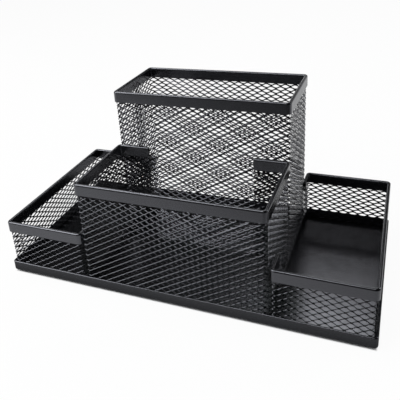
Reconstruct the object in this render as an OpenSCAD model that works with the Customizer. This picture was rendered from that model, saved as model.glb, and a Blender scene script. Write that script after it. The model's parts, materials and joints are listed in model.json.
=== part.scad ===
// Desk organizer of expanded metal: a shallow steel pan carries a tall rear cup, a half-height
// front box and two side trays. Each compartment is a sheet of diamond mesh folded round its
// corners, and a folded steel strip covers its raw top edge. Millimetres, Z up, front faces -Y,
// origin under the middle of the base at desk level.

/* [Overall size] */
// Width of the base pan, left to right
base_w = 205; // [190:1:260]
// Depth of the base pan, front to back
base_d = 105; // [98:1:140]
// Height of the rear cup above the desk
cup_h = 98.5; // [85:0.5:130]
// Height of the front box above the desk
box_h = 65.5; // [50:0.5:80]
// Height of the side trays above the desk
tray_h = 34; // [30:1:45]

/* [Compartments] */
// Width of the box and the cup, across their rims
centre_w = 103.5; // [90:0.5:120]
// Face of the wall between the box and the cup, behind the middle of the base
divider_y = 1; // [-10:0.5:10]
// Length of each box end that is folded in front of the cup
box_return = 20; // [12:1:40]
// Length of each tray end that is folded along the centre block
tray_return = 14; // [8:1:20]

/* [Base pan] */
// Height of the pan's upturned edge, from its underside
lip_h = 6.3; // [6:0.1:10]
// Thickness of the pan's sheet
pan_t = 0.65; // [0.5:0.05:0.65]
// Thickness of the edge, with its hem folded flat against it
lip_t = 1.25; // [1.2:0.05:1.5]
// Height of the hem
hem_h = 5; // [3:0.5:5]
// Outer radius of the fold between the floor and the edge
pan_fold_r = 1.2; // [1:0.05:1.2]
// Outer radius of the pan at its corners, seen from above
pan_corner_r = 2; // [1.9:0.1:3.5]

/* [Rims] */
// Height of the folded strip on each top edge
rim_h = 6.4; // [5:0.1:9]
// Thickness across the strip and the mesh that it grips
rim_t = 2; // [1.8:0.1:2.4]
// Outer radius of a rim at its corners, seen from above
rim_corner_r = 2.5; // [2.2:0.1:3.5]

/* [Mesh] */
// Thickness of the expanded sheet
sheet_t = 1; // [0.8:0.1:1.2]
// Long way of a diamond, coarser than the 5.8 mm of the real sheet to keep the part light
diamond_long = 14.5; // [12:0.5:24]
// Short way of a diamond, coarser than the real 3.4 mm in the same ratio
diamond_short = 8.5; // [7:0.5:12]
// Width of the strands between the diamonds, coarser than the real 0.8 mm in that ratio too
strand_w = 2; // [1:0.1:2.5]
// Width of the seam where the two ends of the cup's sheet overlap
seam_w = 9.5; // [5:0.5:10]
// Distance of the seam behind the cup's front corner
seam_y = 22; // [15:1:24]

/* [Feet] */
// Diameter of the rubber feet
foot_d = 10; // [6:0.5:14]
// Thickness of the rubber feet
foot_t = 1; // [0.8:0.1:3]
// Distance of each foot's middle from the pan's edges
foot_inset = 12; // [9:0.5:20]

/* [Hidden] */
coat = "#2c2d30";
mesh_coat = "#232427";
rubber = "#17181a";
leg_t = (rim_t - sheet_t) / 2;      // one leg of the folded rim strip
pan_z = foot_t;                     // underside of the pan
floor_z = pan_z + pan_t;            // top of the pan's floor
lip_z = pan_z + lip_h;              // top of the pan's edge
sheet_inset = lip_t;                // outer face of the mesh, inside the pan's outline
rim_inset = lip_t - leg_t;          // outer face of the rims, inside the pan's outline
sheet_corner_r = rim_corner_r - leg_t;
rim_x = base_w / 2 - rim_inset;     // outer faces of the outer rims
rim_y = base_d / 2 - rim_inset;
centre_x = centre_w / 2;            // outer side faces of the box and cup rims
strip_x = centre_x - leg_t;         // foot strip, from the centre block's mesh outwards
tray_x = strip_x + lip_t - leg_t;   // inner side face of a tray's rim
box_back_y = divider_y;             // back face of the box rim's folded ends
cup_front_y = divider_y - leg_t;    // front face of the cup's rim
clear = 1;                          // how far a cutting shape runs past what it cuts
$fn = 48;

// ---- Folding: a profile runs along +X with its outer face at Y = 0, and turns left at each bend.
// In the profile, X is the distance inwards from the outer face and Y is the height.

module straight(length)
    rotate([90, 0, 90]) linear_extrude(length) children();

module bend(r)
    translate([0, r, 0])
        rotate([0, 0, -90])
            rotate_extrude(angle = 90)
                translate([r, 0]) mirror([1, 0]) children();

module folded_run(legs, r, closed = false, i = 0) {
    straight(legs[i]) children();
    if (closed || i < len(legs) - 1)
        translate([legs[i], 0, 0]) bend(r) children();
    if (i < len(legs) - 1)
        translate([legs[i] + r, r, 0])
            rotate([0, 0, 90])
                folded_run(legs, r, closed, i + 1) children();
}

// ---- Profiles

// Upside-down U that grips the mesh: two flat legs joined by a half-round fold
module rim_profile(top) {
    difference() {
        union() {
            translate([0, top - rim_h]) square([rim_t, rim_h - rim_t / 2]);
            translate([rim_t / 2, top - rim_t / 2]) circle(r = rim_t / 2);
        }
        translate([leg_t, top - rim_h - clear]) square([sheet_t, rim_h - rim_t / 2 + clear]);
        translate([rim_t / 2, top - rim_t / 2]) circle(r = sheet_t / 2);
    }
}

// Upright edge with its hem folded down flat on the inside
module hemmed_edge(bottom) {
    fold_z = lip_z - lip_t / 2;
    translate([0, bottom]) square([pan_t, fold_z - bottom]);
    translate([pan_t, lip_z - hem_h]) square([lip_t - pan_t, fold_z - lip_z + hem_h]);
    intersection() {
        translate([lip_t / 2, fold_z]) circle(r = lip_t / 2);
        translate([0, fold_z]) square([lip_t, lip_t / 2]);
    }
}

// Edge of the pan: a short piece of floor, the fold and the hemmed edge
module pan_profile() {
    translate([pan_fold_r, pan_z]) square([pan_corner_r - pan_fold_r - pan_t, pan_t]);
    intersection() {
        translate([pan_fold_r, pan_z + pan_fold_r]) difference() {
            circle(r = pan_fold_r);
            circle(r = pan_fold_r - pan_t);
        }
        translate([0, pan_z]) square(pan_fold_r);
    }
    hemmed_edge(pan_z + pan_fold_r);
}

// ---- Expanded metal

// Points of a diamond opening, or of its right or left half at the ends of a row
function diamond(a, b, left, right) =
    concat(left ? [[-a, 0]] : [], [[0, -b]], right ? [[a, 0]] : [], [[0, b]]);

module diamonds(width, height) {
    cols = max(1, round(width / diamond_long));
    rows = max(1, round(height / diamond_short));
    half = [width / cols / 2, height / rows / 2];
    open = 1 - strand_w / 2 * norm(half) / (half.x * half.y);
    for (i = [0 : 2 * cols], j = [1 : 2 * rows - 1])
        if ((i + j) % 2 == 0)
            translate([i * half.x, j * half.y])
                polygon(diamond(half.x * open, half.y * open, i > 0, i < 2 * cols));
}

module mesh_sheet(length, top, margin) {
    low = floor_z + strand_w / 2;
    high = top - rim_h + strand_w;
    difference() {
        translate([0, floor_z]) square([length, top - rim_t / 2 - floor_z]);
        translate([margin, low]) diamonds(length - 2 * margin, high - low);
    }
}

// Flat stretch of a wall, which may carry the rounded folds at its two ends
module mesh_wall(length, top, folds = false) {
    color(mesh_coat) {
        translate([0, sheet_t, 0])
            rotate([90, 0, 0])
                linear_extrude(sheet_t) mesh_sheet(length, top, folds ? 0 : strand_w / 2);
        if (folds)
            for (x = [0, length])
                translate([x, 0, 0])
                    mirror([x == 0 ? 1 : 0, 0, 0])
                        bend(sheet_corner_r)
                            translate([0, floor_z]) square([sheet_t, top - rim_t / 2 - floor_z]);
    }
}

// Puts a wall with its outer face on one side of a rectangle from a to b, seen from above
module on_front(a, b) translate([a.x + sheet_corner_r, a.y, 0]) children();
module on_right(a, b) translate([b.x, a.y + sheet_corner_r, 0]) rotate([0, 0, 90]) children();
module on_rear(a, b) translate([b.x - sheet_corner_r, b.y, 0]) rotate([0, 0, 180]) children();
module on_left(a, b) translate([a.x, b.y - sheet_corner_r, 0]) rotate([0, 0, 270]) children();
function flat(a, b) = b - a - [2, 2] * sheet_corner_r;

// ---- Base

module base_pan() {
    inside = pan_corner_r - pan_t;
    legs = [base_w - 2 * pan_corner_r, base_d - 2 * pan_corner_r];
    color(coat) {
        translate([-legs.x / 2, -base_d / 2, 0])
            folded_run([legs.x, legs.y, legs.x, legs.y], pan_corner_r, closed = true) pan_profile();
        translate([0, 0, pan_z])
            linear_extrude(pan_t) {
                square([base_w - 2 * inside, legs.y], center = true);
                square([legs.x, base_d - 2 * inside], center = true);
                for (x = [-1, 1], y = [-1, 1])
                    translate([x * legs.x, y * legs.y] / 2) circle(r = pan_t);
            }
    }
}

// Hemmed strip that stands on the floor along one side of the centre block
module centre_strip() {
    length = base_d - 2 * sheet_inset;
    color(coat)
        translate([strip_x + lip_t, -length / 2, 0])
            rotate([0, 0, 90])
                straight(length) hemmed_edge(floor_z);
}

module foot(x, y) {
    edge = foot_t / 3;
    color(rubber)
        translate([x * (base_w / 2 - foot_inset), y * (base_d / 2 - foot_inset), 0])
            rotate_extrude()
                polygon([[0, 0], [foot_d / 2 - edge, 0], [foot_d / 2, edge],
                         [foot_d / 2, foot_t], [0, foot_t]]);
}

// ---- Rear cup: a closed loop of mesh, its ends lapped in a seam on the left wall

cup_a = [-strip_x, divider_y];
cup_b = [strip_x, rim_y - leg_t];

module cup_wall_front()
    on_front(cup_a, cup_b) mesh_wall(flat(cup_a, cup_b).x, cup_h, folds = true);

module cup_wall_rear()
    on_rear(cup_a, cup_b) mesh_wall(flat(cup_a, cup_b).x, cup_h, folds = true);

module cup_wall_right()
    on_right(cup_a, cup_b) mesh_wall(flat(cup_a, cup_b).y, cup_h);

module cup_wall_left() {
    on_left(cup_a, cup_b) mesh_wall(flat(cup_a, cup_b).y, cup_h);
    translate([cup_a.x + sheet_t, cup_a.y + seam_y + seam_w, 0])
        rotate([0, 0, 270]) mesh_wall(seam_w, cup_h - rim_h);
}

module cup_rim() {
    legs = [centre_w, rim_y - cup_front_y] - [2, 2] * rim_corner_r;
    color(coat)
        translate([-legs.x / 2, cup_front_y, 0])
            folded_run([legs.x, legs.y, legs.x, legs.y], rim_corner_r, closed = true)
                rim_profile(cup_h);
}

// ---- Front box: three walls and two ends folded in front of the cup

box_a = [-strip_x, -rim_y + leg_t];
box_b = [strip_x, box_back_y - leg_t];
box_end = box_return - rim_corner_r;    // straight stretch of a folded end

module box_wall_front()
    on_front(box_a, box_b) mesh_wall(flat(box_a, box_b).x, box_h, folds = true);

module box_wall_right()
    on_right(box_a, box_b) mesh_wall(flat(box_a, box_b).y, box_h);

module box_wall_left()
    on_left(box_a, box_b) mesh_wall(flat(box_a, box_b).y, box_h);

// Folded end on the right: the corner fold, then a stretch along the cup
module box_end_right() {
    on_rear(box_a, box_b) mesh_wall(box_end, box_h);
    color(mesh_coat)
        translate([box_b.x, box_b.y - sheet_corner_r, 0])
            rotate([0, 0, 90])
                bend(sheet_corner_r)
                    translate([0, floor_z]) square([sheet_t, box_h - rim_t / 2 - floor_z]);
}

module box_end_left() mirror([1, 0, 0]) box_end_right();

module box_rim() {
    legs = [centre_w, rim_y + box_back_y] - [2, 2] * rim_corner_r;
    color(coat)
        translate([-centre_x + box_return, box_back_y, 0])
            rotate([0, 0, 180])
                folded_run([box_end, legs.y, legs.x, legs.y, box_end], rim_corner_r)
                    rim_profile(box_h);
}

// ---- Side trays: three walls and two ends folded along the centre block

tray_a = [tray_x + leg_t, -rim_y + leg_t];
tray_b = [rim_x - leg_t, rim_y - leg_t];
tray_end = tray_return - rim_corner_r;

module tray_wall_front()
    on_front(tray_a, tray_b) mesh_wall(flat(tray_a, tray_b).x, tray_h, folds = true);

module tray_wall_side()
    on_right(tray_a, tray_b) mesh_wall(flat(tray_a, tray_b).y, tray_h);

module tray_wall_rear()
    on_rear(tray_a, tray_b) mesh_wall(flat(tray_a, tray_b).x, tray_h, folds = true);

module tray_end_rear()
    on_left(tray_a, tray_b) mesh_wall(tray_end, tray_h);

module tray_end_front() mirror([0, 1, 0]) tray_end_rear();

module tray_rim() {
    legs = [rim_x - tray_x, 2 * rim_y] - [2, 2] * rim_corner_r;
    color(coat)
        translate([tray_x, -rim_y + tray_return, 0])
            rotate([0, 0, 270])
                folded_run([tray_end, legs.x, legs.y, legs.x, tray_end], rim_corner_r)
                    rim_profile(tray_h);
}

module left() mirror([1, 0, 0]) children();

base_pan();
left() centre_strip();  // centre_strip_left
centre_strip();  // centre_strip_right
cup_wall_front();
cup_wall_right();
cup_wall_rear();
cup_wall_left();
cup_rim();
box_wall_front();
box_wall_right();
box_wall_left();
box_end_right();
box_end_left();
box_rim();
tray_wall_front();  // right_tray_wall_front
tray_wall_side();  // right_tray_wall_side
tray_wall_rear();  // right_tray_wall_rear
tray_end_front();  // right_tray_end_front
tray_end_rear();  // right_tray_end_rear
tray_rim();  // right_tray_rim
left() tray_wall_front();  // left_tray_wall_front
left() tray_wall_side();  // left_tray_wall_side
left() tray_wall_rear();  // left_tray_wall_rear
left() tray_end_front();  // left_tray_end_front
left() tray_end_rear();  // left_tray_end_rear
left() tray_rim();  // left_tray_rim
foot(-1, -1);  // foot_front_left
foot(1, -1);  // foot_front_right
foot(-1, 1);  // foot_rear_left
foot(1, 1);  // foot_rear_right
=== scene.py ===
# Looks of the expanded-metal desk organizer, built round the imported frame.
# Metres, Z up, front faces -Y, the desk is Z = 0.
import json
import math

import bpy
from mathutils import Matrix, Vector


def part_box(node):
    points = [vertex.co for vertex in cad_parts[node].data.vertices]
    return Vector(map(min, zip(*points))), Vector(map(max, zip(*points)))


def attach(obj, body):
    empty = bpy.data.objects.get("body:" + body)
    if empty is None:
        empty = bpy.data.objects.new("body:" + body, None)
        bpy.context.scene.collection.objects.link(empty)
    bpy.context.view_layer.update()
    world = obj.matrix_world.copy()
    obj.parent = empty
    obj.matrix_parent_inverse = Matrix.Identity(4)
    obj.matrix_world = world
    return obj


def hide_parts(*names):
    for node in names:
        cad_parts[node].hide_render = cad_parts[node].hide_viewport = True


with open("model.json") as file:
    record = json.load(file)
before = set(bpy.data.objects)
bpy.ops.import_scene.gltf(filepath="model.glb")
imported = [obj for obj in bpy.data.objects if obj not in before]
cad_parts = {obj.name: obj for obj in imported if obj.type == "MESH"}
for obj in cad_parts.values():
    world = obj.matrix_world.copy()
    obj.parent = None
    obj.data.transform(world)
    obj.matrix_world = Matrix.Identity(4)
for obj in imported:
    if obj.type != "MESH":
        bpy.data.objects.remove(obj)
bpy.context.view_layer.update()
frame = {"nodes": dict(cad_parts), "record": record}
MM = 0.001

# ---- Expanded metal ------------------------------------------------------------------------
SHEET_T = 1.0 * MM  # thickness of the walls that a sheet stands for; it runs along their middle
BEND_R = 2.0 * MM  # outer radius of their folds
DIAMOND_LONG = 5.8 * MM
DIAMOND_SHORT = 3.4 * MM
STRAND_W = 0.79 * MM
STRAND_T = 0.18 * MM
STRAND_TILT = math.radians(28)  # each strand leans outwards towards its top
CUT_SLANT = math.radians(15)  # how far its cut edges are from square, down towards the outside
CREASE = math.radians(45)  # where its faces turn by more than this, the shading breaks
KNUCKLE = 1.0 * MM  # length along which neighbouring strands stay joined
FLOOR_GAP = 0.1 * MM  # lowest strand above the pan's floor
RIM_COVER = 1.0 * MM  # the strands end at least this far below the top of their rim
SECTION = ((-1, 1), (1, 1), (1, -1), (-1, -1))  # corners of a strand: down or up, in or out
UPPER_EDGE, LOWER_EDGE = 1, 3  # its cut edges, each counted by the corner that it starts from
PLACE_DIGITS = 7  # places on a sheet that agree to this many decimals of a metre are one
PLACE_SLACK = 1e-9  # metres; a place this little before a stretch of the way counts as on it
RING_SLACK = 1e-3  # of a half diamond, well over the rounding of a ring's place

ACROSS = Vector((math.cos(STRAND_TILT), math.sin(STRAND_TILT)))  # a strand's width: up, outwards
THROUGH = Vector((-math.sin(STRAND_TILT), math.cos(STRAND_TILT)))  # its thickness
SWING = DIAMOND_SHORT / 4 - ACROSS.x * STRAND_W / 2  # how far a strand rises and falls
LEAN = ACROSS.y * STRAND_W / 2  # and how far it moves in and out with that
# Half of a cut edge, from its middle to its outer corner
HALF_CUT = THROUGH * STRAND_T / 2 - ACROSS * math.tan(CUT_SLANT) * STRAND_T / 2


class Fold:
    """The way of a sheet round its corners, seen from above: legs of its outer face joined by
    left turns. step, if set, is the stretch where the sheet shifts inwards, so that its end
    laps inside its beginning."""

    def __init__(self, start, heading, legs):
        self.step = None
        self.parts = []
        here = Vector(start)
        along = Vector((math.cos(heading), math.sin(heading)))
        travelled = 0
        mid_r = BEND_R - SHEET_T / 2
        for i, leg in enumerate(legs):
            self.parts.append((travelled, leg, here.copy(), along.copy(), False))
            here += along * leg
            travelled += leg
            if i < len(legs) - 1:
                arc = mid_r * math.pi / 2
                self.parts.append((travelled, arc, here.copy(), along.copy(), True))
                left = Vector((-along.y, along.x))
                here += (along + left) * BEND_R
                along = left
                travelled += arc
        self.length = travelled

    def bends(self):
        """Places where a strand needs a ring of its own to follow a fold."""
        return [s + length * k / 2 for s, length, _, _, turns in self.parts if turns for k in range(3)]

    def point(self, s, out, height):
        """Place of a point s along the sheet, out from its middle face and at a height."""
        start, length, here, along, turns = next(
            p for p in reversed(self.parts) if s >= p[0] - PLACE_SLACK
        )
        left = Vector((-along.y, along.x))
        if self.step:
            begin, end = self.step
            share = min(1, max(0, (s - begin) / (end - begin)))
            out -= SHEET_T * share * share * (3 - 2 * share)
        if not turns:
            flat = here + along * (s - start) + left * (SHEET_T / 2 - out)
        else:
            angle = (s - start) / length * math.pi / 2
            spoke = along * math.sin(angle) - left * math.cos(angle)
            flat = here + left * BEND_R + spoke * (BEND_R - SHEET_T / 2 + out)
        return (flat.x, flat.y, height)


def strand_at(row, s, half):
    """How high a strand is in its swing at s, from -1 to 1, and which neighbour holds it there:
    1 is the one above, -1 the one below, 0 neither."""
    i = round(s / half)
    ahead = s / half - i
    side = 1 if (i + row) % 2 == 0 else -1
    joint = KNUCKLE / 2 / half
    if abs(ahead) <= joint + RING_SLACK:
        return side, side
    share = (abs(ahead) - joint) / (1 - 2 * joint)
    return side * (1 - 2 * share), 0


def expanded_sheet(name, fold, low, high, replaced):
    """One folded sheet of expanded metal, as rows of zigzag strands joined at their knuckles."""
    columns = round(fold.length / (DIAMOND_LONG / 2))
    half = fold.length / columns
    pitch = DIAMOND_SHORT / 2
    edge = SWING + ACROSS.x * STRAND_W / 2 + abs(HALF_CUT.x)
    rows = int((high - low - 2 * edge) / pitch) + 1
    knuckles = [i * half + k * KNUCKLE / 2 for i in range(columns + 1) for k in (-1, 1)]
    rings = {round(s, PLACE_DIGITS) for s in knuckles + fold.bends() if 0 < s < fold.length}
    rings = sorted(rings | {0.0, fold.length})
    verts, index, faces = [], {}, []

    def vertex(s, up, out):
        key = tuple(round(number, PLACE_DIGITS) for number in (s, up, out))
        if key not in index:
            index[key] = len(verts)
            verts.append(fold.point(s, out, up))
        return index[key]

    for row in range(rows):
        middle = low + edge + row * pitch
        before = None
        for s in rings:
            rise, held = strand_at(row, s, half)
            centre = Vector((middle + rise * SWING, -rise * LEAN))
            corners = [centre + ACROSS * (a * STRAND_W / 2) + HALF_CUT * b for a, b in SECTION]
            ring = [vertex(s, c.x, c.y) for c in corners]
            if before:
                last, last_held = before
                joined = held if held == last_held else 0
                covered = None
                if joined == 1 and row < rows - 1:
                    covered = UPPER_EDGE
                elif joined == -1 and row > 0:
                    covered = LOWER_EDGE
                for k in range(len(SECTION)):
                    if k != covered:
                        n = (k + 1) % len(SECTION)
                        faces.append((last[k], ring[k], ring[n], last[n]))
            else:
                faces.append(tuple(ring))
            before = (ring, held)
        faces.append(tuple(reversed(before[0])))

    mesh = bpy.data.meshes.new(name)
    mesh.from_pydata(verts, [], faces)
    mesh.validate()
    mesh.shade_smooth()
    mesh.set_sharp_from_angle(angle=CREASE)
    piece = bpy.data.objects.new(name, mesh)
    bpy.context.scene.collection.objects.link(piece)
    piece.data.materials.append(mesh_coat)
    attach(piece, "root")
    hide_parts(*replaced)


# ---- Materials -----------------------------------------------------------------------------
# Each noise: its cells per metre, its detail and, for the orange peel, its roughness
COAT_TINT = (90, 4)
COAT_GLOSS = (260, 3)
SHEET_RIPPLE = (55, 2)
ORANGE_PEEL = (1400, 2, 0.6)
RUBBER_TINT = (400, 4)
RUBBER_GLOSS = (900, 3)
RUBBER_GRAIN = (2500, 3)
NOISE_FILLS = (0.35, 0.65)  # the part of its range that a noise mostly fills
COAT_IOR = 2.0
COOL_GLOSS = (0.89, 0.91, 1)  # the coat's reflections are slightly blue


def new_material(name):
    material = bpy.data.materials.new(name)
    material.use_nodes = True
    tree = material.node_tree
    return material, tree, tree.nodes["Principled BSDF"]


def noise(tree, scale, detail, roughness=0.5):
    """Noise in the frame that all pieces share, so its grain has one size on every piece."""
    place = tree.nodes.new("ShaderNodeTexCoord")
    texture = tree.nodes.new("ShaderNodeTexNoise")
    texture.inputs["Scale"].default_value = scale
    texture.inputs["Detail"].default_value = detail
    texture.inputs["Roughness"].default_value = roughness
    tree.links.new(place.outputs["Object"], texture.inputs["Vector"])
    return texture.outputs["Fac"]


def ramp(tree, value, low, high):
    """Colours or grey levels spread over the part of the noise that it mostly fills."""
    node = tree.nodes.new("ShaderNodeValToRGB")
    for element, position, colour in zip(node.color_ramp.elements, NOISE_FILLS, (low, high)):
        element.position = position
        element.color = (*colour, 1)
    tree.links.new(value, node.inputs["Fac"])
    return node.outputs["Color"]


def mottle(tree, shader, tint, dark, light, gloss, smooth, rough):
    """Colour from dark to light by the noise tint, roughness from smooth to rough by gloss."""
    tree.links.new(ramp(tree, noise(tree, *tint), dark, light), shader.inputs["Base Color"])
    levels = ramp(tree, noise(tree, *gloss), (smooth,) * 3, (rough,) * 3)
    tree.links.new(levels, shader.inputs["Roughness"])


def bump(tree, height, distance, before=None):
    node = tree.nodes.new("ShaderNodeBump")
    node.inputs["Strength"].default_value = 1
    node.inputs["Distance"].default_value = distance
    tree.links.new(height, node.inputs["Height"])
    if before:
        tree.links.new(before, node.inputs["Normal"])
    return node.outputs["Normal"]


def powder_coat(name, dark, light, smooth, rough, ripple, peel):
    """Satin black powder coat: orange peel over the slow ripple of folded sheet steel."""
    material, tree, shader = new_material(name)
    mottle(tree, shader, COAT_TINT, dark, light, COAT_GLOSS, smooth, rough)
    rippled = bump(tree, noise(tree, *SHEET_RIPPLE), ripple)
    peeled = bump(tree, noise(tree, *ORANGE_PEEL), peel, rippled)
    tree.links.new(peeled, shader.inputs["Normal"])
    shader.inputs["IOR"].default_value = COAT_IOR
    shader.inputs["Specular Tint"].default_value = (*COOL_GLOSS, 1)
    return material


def rubber_material(name, dark, light, smooth, rough, grain):
    """Matt rubber with a fine grain."""
    material, tree, shader = new_material(name)
    mottle(tree, shader, RUBBER_TINT, dark, light, RUBBER_GLOSS, smooth, rough)
    tree.links.new(bump(tree, noise(tree, *RUBBER_GRAIN), grain), shader.inputs["Normal"])
    return material


coat = powder_coat(
    "satin_black_coat",
    dark=(0.0028, 0.0029, 0.0032),
    light=(0.0040, 0.0041, 0.0045),
    smooth=0.2,
    rough=0.24,
    ripple=0.01 * MM,
    peel=0.0006 * MM,
)
mesh_coat = powder_coat(
    "black_mesh_coat",
    dark=(0.0022, 0.0023, 0.0026),
    light=(0.0034, 0.0035, 0.0039),
    smooth=0.12,
    rough=0.16,
    ripple=0.01 * MM,
    peel=0.001 * MM,
)
rubber = rubber_material(
    "black_rubber",
    dark=(0.016, 0.016, 0.017),
    light=(0.026, 0.026, 0.027),
    smooth=0.62,
    rough=0.78,
    grain=0.03 * MM,
)

# ---- Mesh sheets, folded along the lines of the solids that they stand for ------------------
RIGHT, REAR, LEFT = (math.radians(a) for a in (90, 180, 270))  # way of travel on these sides
SEAM_LAP = 9.5 * MM
SEAM_STEP = 3 * MM  # length along which the sheet shifts inwards before its lap
SEAM_PLACE = 22 * MM  # the lap's front edge, behind the cup's front corner


def outline(first, last):
    """Lowest and highest corner of a loop of walls, from two opposite ones."""
    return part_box(first)[0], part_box(last)[1]


def straight(low, high):
    """Straight stretches of a loop between its corner folds, across and deep."""
    return high.x - low.x - 2 * BEND_R, high.y - low.y - 2 * BEND_R


def cup_sheet():
    """A closed loop, its end lapped inside its beginning on the left wall."""
    low, high = outline("cup_wall_front", "cup_wall_rear")
    across, deep = straight(low, high)
    seam_y = low.y + SEAM_PLACE + SEAM_LAP
    first = seam_y - low.y - BEND_R
    last = deep - first + SEAM_LAP
    fold = Fold((low.x, seam_y), LEFT, [first, across, deep, across, last])
    lap = fold.length - SEAM_LAP
    fold.step = (lap - SEAM_STEP, lap)
    expanded_sheet(
        "cup_mesh",
        fold,
        low.z + FLOOR_GAP,
        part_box("cup_rim")[1].z - RIM_COVER,
        ["cup_wall_front", "cup_wall_right", "cup_wall_rear", "cup_wall_left"],
    )


def box_sheet():
    """Open at the back, with its two ends folded in."""
    low, high = outline("box_wall_front", "box_end_right")
    across, deep = straight(low, high)
    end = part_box("box_end_left")[1].x
    back = end - low.x - BEND_R
    expanded_sheet(
        "box_mesh",
        Fold((end, high.y), REAR, [back, deep, across, deep, back]),
        low.z + FLOOR_GAP,
        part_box("box_rim")[1].z - RIM_COVER,
        ["box_wall_front", "box_wall_right", "box_wall_left", "box_end_right", "box_end_left"],
    )


def tray_sheet(side):
    """Open towards the centre block, with its two ends folded in."""
    low, high = outline(f"{side}_tray_wall_front", f"{side}_tray_wall_rear")
    across, deep = straight(low, high)
    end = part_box(f"{side}_tray_end_front")[1].y
    back = end - low.y - BEND_R
    start, heading = ((low.x, end), LEFT) if side == "right" else ((high.x, -end), RIGHT)
    walls = ("wall_front", "wall_side", "wall_rear", "end_front", "end_rear")
    expanded_sheet(
        f"{side}_tray_mesh",
        Fold(start, heading, [back, across, deep, across, back]),
        low.z + FLOOR_GAP,
        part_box(f"{side}_tray_rim")[1].z - RIM_COVER,
        [f"{side}_tray_{wall}" for wall in walls],
    )


cup_sheet()
box_sheet()
tray_sheet("right")
tray_sheet("left")

FINISH = {"satin_black_coat": coat, "black_mesh_coat": mesh_coat, "black_rubber": rubber}
for part in frame["record"]["subparts"]:
    node = frame["nodes"][part["node"]]
    node.data.materials.clear()
    node.data.materials.append(FINISH[part["material_slot"]])

# ---- Floor, light and camera ---------------------------------------------------------------


def math_node(tree, operation, first, second):
    node = tree.nodes.new("ShaderNodeMath")
    node.operation = operation
    for socket, value in zip(node.inputs, (first, second)):
        if isinstance(value, (int, float)):
            socket.default_value = value
        else:
            tree.links.new(value, socket)
    return node.outputs["Value"]


def fade(tree, value, start, end, low, high):
    """From low where value is start to high where it is end."""
    node = tree.nodes.new("ShaderNodeMapRange")
    node.interpolation_type = "SMOOTHSTEP"
    for name, number in (("From Min", start), ("From Max", end), ("To Min", low), ("To Max", high)):
        node.inputs[name].default_value = number
    tree.links.new(value, node.inputs["Value"])
    return node.outputs["Result"]


def how_far(tree, place, way):
    """Distance of a place along a way."""
    node = tree.nodes.new("ShaderNodeVectorMath")
    node.operation = "DOT_PRODUCT"
    node.inputs[1].default_value = way
    tree.links.new(place, node.inputs[0])
    return node.outputs["Value"]


def background(tree, room, plain, strength, in_gloss):
    """room lights the object. The camera sees plain at full strength, white, and gloss and glass
    see it as bright as in_gloss says. strength is the socket of plain that sets this."""
    rays = tree.nodes.new("ShaderNodeLightPath").outputs
    camera = rays["Is Camera Ray"]
    mirrored = math_node(tree, "MAXIMUM", rays["Is Glossy Ray"], rays["Is Transmission Ray"])
    seen = math_node(tree, "MAXIMUM", camera, mirrored)
    tree.links.new(math_node(tree, "MAXIMUM", camera, in_gloss), strength)
    mix = tree.nodes.new("ShaderNodeMixShader")
    tree.links.new(seen, mix.inputs["Fac"])
    tree.links.new(room, mix.inputs[1])
    tree.links.new(plain, mix.inputs[2])
    return mix.outputs["Shader"]


FLOOR_HALF = 4.0  # half of the floor's side
FLOOR_GREY = 0.9
FLOOR_ROUGHNESS = 0.8
FRONT_RIGHT = (0.45, -0.9, 0)  # the way to where the camera stands; the floor's glow in gloss is painted darker that way, as shade
CAMERA_SIDE_SHADE = (0.05, 0.24)  # how far that way the painted shade on the floor's glow in gloss starts, and where it is full
FLOOR_IN_GLOSS = (0.78, 0.06)  # its brightness in gloss at those two places
# Distances from the outline of the base, below zero under it
SHADE_REACH = (-12 * MM, 34 * MM)  # where the object's shade in gloss starts to fade, and ends
CONTACT = (-1.3 * MM, 0)  # where the floor under the base turns to the white floor
FLOOR_WHITE = 0.95  # the rest of the floor's look is its own shading, with the object's shadow


def outside_base(tree, place):
    """Distance of a floor point from the outline of the base, below zero under it."""
    low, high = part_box("base_pan")
    split = tree.nodes.new("ShaderNodeSeparateXYZ")
    tree.links.new(place, split.inputs["Vector"])
    gaps = []
    for axis, half in (("X", (high.x - low.x) / 2), ("Y", (high.y - low.y) / 2)):
        away = math_node(tree, "ABSOLUTE", split.outputs[axis], 0)
        gaps.append(math_node(tree, "SUBTRACT", away, half))
    return math_node(tree, "MAXIMUM", *gaps)


def make_floor():
    corners = [(x * FLOOR_HALF, y * FLOOR_HALF, 0) for x, y in ((-1, -1), (1, -1), (1, 1), (-1, 1))]
    mesh = bpy.data.meshes.new("floor")
    mesh.from_pydata(corners, [], [(0, 1, 2, 3)])
    floor = bpy.data.objects.new("floor", mesh)
    bpy.context.scene.collection.objects.link(floor)
    material, tree, shader = new_material("white_floor")
    shader.inputs["Base Color"].default_value = (FLOOR_GREY, FLOOR_GREY, FLOOR_GREY, 1)
    shader.inputs["Roughness"].default_value = FLOOR_ROUGHNESS
    shading = shader.outputs["BSDF"]
    glow = tree.nodes.new("ShaderNodeEmission")
    place = tree.nodes.new("ShaderNodeTexCoord").outputs["Object"]
    # In gloss the floor glows with painted shade, darker towards the camera and round the base; the
    # camera itself sees it white
    shaded_towards_camera = fade(tree, how_far(tree, place, FRONT_RIGHT), *CAMERA_SIDE_SHADE, *FLOOR_IN_GLOSS)
    gap = outside_base(tree, place)
    lit = math_node(tree, "MULTIPLY", shaded_towards_camera, fade(tree, gap, *SHADE_REACH, 0, 1))
    sweep = background(tree, shading, glow.outputs["Emission"], glow.inputs["Strength"], lit)
    shadow = tree.nodes.new("ShaderNodeMixShader")
    tree.links.new(fade(tree, gap, *CONTACT, 0, FLOOR_WHITE), shadow.inputs["Fac"])
    tree.links.new(shading, shadow.inputs[1])
    tree.links.new(sweep, shadow.inputs[2])
    tree.links.new(shadow.outputs["Shader"], tree.nodes["Material Output"].inputs["Surface"])
    floor.data.materials.append(material)


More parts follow.
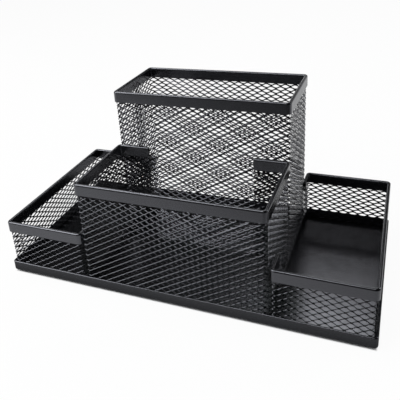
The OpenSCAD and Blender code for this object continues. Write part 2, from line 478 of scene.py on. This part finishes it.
# The backdrop in gloss, by how far a way of length 1 points up, back and to the right
BACKDROP_TOP = (0.12, 0.4)  # up: where it starts to darken, and where it is dark
BACKDROP_BACK = (-0.1, 0.4)  # back: where the dark studio ends, and where it is white
BACKDROP_RIGHT = (0.1, 0.4)  # right: where it starts to dim, and where it is dim
DIM_BACKDROP = 0.25
DARK_STUDIO = 0.01
ROOM_COLOUR = (0.93, 0.96, 1)
ROOM_LIGHT = 0.2  # strength of the light from all round


def make_world():
    world = bpy.data.worlds.new("studio")
    bpy.context.scene.world = world
    world.use_nodes = True
    tree = world.node_tree
    room = tree.nodes["Background"]
    room.inputs["Color"].default_value = (*ROOM_COLOUR, 1)
    room.inputs["Strength"].default_value = ROOM_LIGHT
    white = tree.nodes.new("ShaderNodeBackground")
    white.inputs["Color"].default_value = (1, 1, 1, 1)
    way = tree.nodes.new("ShaderNodeTexCoord").outputs["Generated"]
    high = fade(tree, how_far(tree, way, (0, 0, 1)), *BACKDROP_TOP, 1, DARK_STUDIO)
    back = fade(tree, how_far(tree, way, (0, 1, 0)), *BACKDROP_BACK, DARK_STUDIO, 1)
    right = fade(tree, how_far(tree, way, (1, 0, 0)), *BACKDROP_RIGHT, 1, DIM_BACKDROP)
    lit = math_node(tree, "MULTIPLY", math_node(tree, "MULTIPLY", high, back), right)
    shown = background(
        tree, room.outputs["Background"], white.outputs["Background"], white.inputs["Strength"], lit
    )
    tree.links.new(shown, tree.nodes["World Output"].inputs["Surface"])


STUDIO_REACH = 1.0  # distance of the softboxes
SOFTBOXES = {  # way to each one, its width and height, and its brightness, where 1 is white
    "key_softbox": ((-0.66, -0.34, 0.67), (0.7, 0.65), 4),
    "rim_softbox": ((-0.42, 0.12, 0.9), (0.25, 0.25), 7),
    "top_softbox": ((-0.12, -0.42, 0.9), (0.45, 0.3), 5),
    "rear_softbox": ((-0.04, 0.655, 0.75), (0.32, 0.28), 2.9),
    "right_softbox": ((0.69, 0.45, 0.56), (0.3, 0.3), 5),
}


def softbox(name, way, size, brightness):
    data = bpy.data.lights.new(name, "AREA")
    data.shape = "RECTANGLE"
    data.size, data.size_y = size
    data.energy = brightness * math.pi * data.size * data.size_y
    lamp = bpy.data.objects.new(name, data)
    lamp.location = Vector(way).normalized() * STUDIO_REACH
    lamp.rotation_euler = (-lamp.location).to_track_quat("-Z", "Y").to_euler()
    lamp.visible_camera = False
    bpy.context.scene.collection.objects.link(lamp)


# The camera, solved from the straight edges of the rims and the base in the photograph
CAMERA_PLACE = (101.41 * MM, -256.49 * MM, 195.07 * MM)
CAMERA_YAW = math.radians(-23.877)  # turned to the left of straight ahead
CAMERA_PITCH = math.radians(22.23)  # below the horizon
CAMERA_ROLL = math.radians(-4.472)
PHOTO_SIZE = 400  # pixels
FOCAL_PIXELS = 537.58
CENTRE_PIXEL = (177.11, 126.47)  # where the lens's axis meets the photograph
SENSOR_WIDTH = 36  # millimetres, as the focal length is
NEAREST_SEEN = 10 * MM


def make_camera():
    data = bpy.data.cameras.new("camera")
    camera = bpy.data.objects.new("camera", data)
    ahead = Vector(
        (
            math.sin(CAMERA_YAW) * math.cos(CAMERA_PITCH),
            math.cos(CAMERA_YAW) * math.cos(CAMERA_PITCH),
            -math.sin(CAMERA_PITCH),
        )
    )
    right = Vector((math.cos(CAMERA_YAW), -math.sin(CAMERA_YAW), 0))
    up = right.cross(ahead)
    rolled_right = math.cos(CAMERA_ROLL) * right + math.sin(CAMERA_ROLL) * up
    rolled_up = math.cos(CAMERA_ROLL) * up - math.sin(CAMERA_ROLL) * right
    turn = camera.matrix_basis.to_3x3()
    turn.col[0], turn.col[1], turn.col[2] = rolled_right, rolled_up, -ahead
    camera.matrix_basis = turn.to_4x4()
    camera.location = CAMERA_PLACE
    data.sensor_width = SENSOR_WIDTH
    data.lens = FOCAL_PIXELS / PHOTO_SIZE * SENSOR_WIDTH
    data.shift_x = (PHOTO_SIZE / 2 - CENTRE_PIXEL[0]) / PHOTO_SIZE
    data.shift_y = (CENTRE_PIXEL[1] - PHOTO_SIZE / 2) / PHOTO_SIZE
    data.clip_start = NEAREST_SEEN
    bpy.context.scene.collection.objects.link(camera)
    bpy.context.scene.camera = camera


make_floor()
make_world()
for name, (way, size, brightness) in SOFTBOXES.items():
    softbox(name, way, size, brightness)
make_camera()
bpy.context.scene.view_settings.view_transform = "Standard"
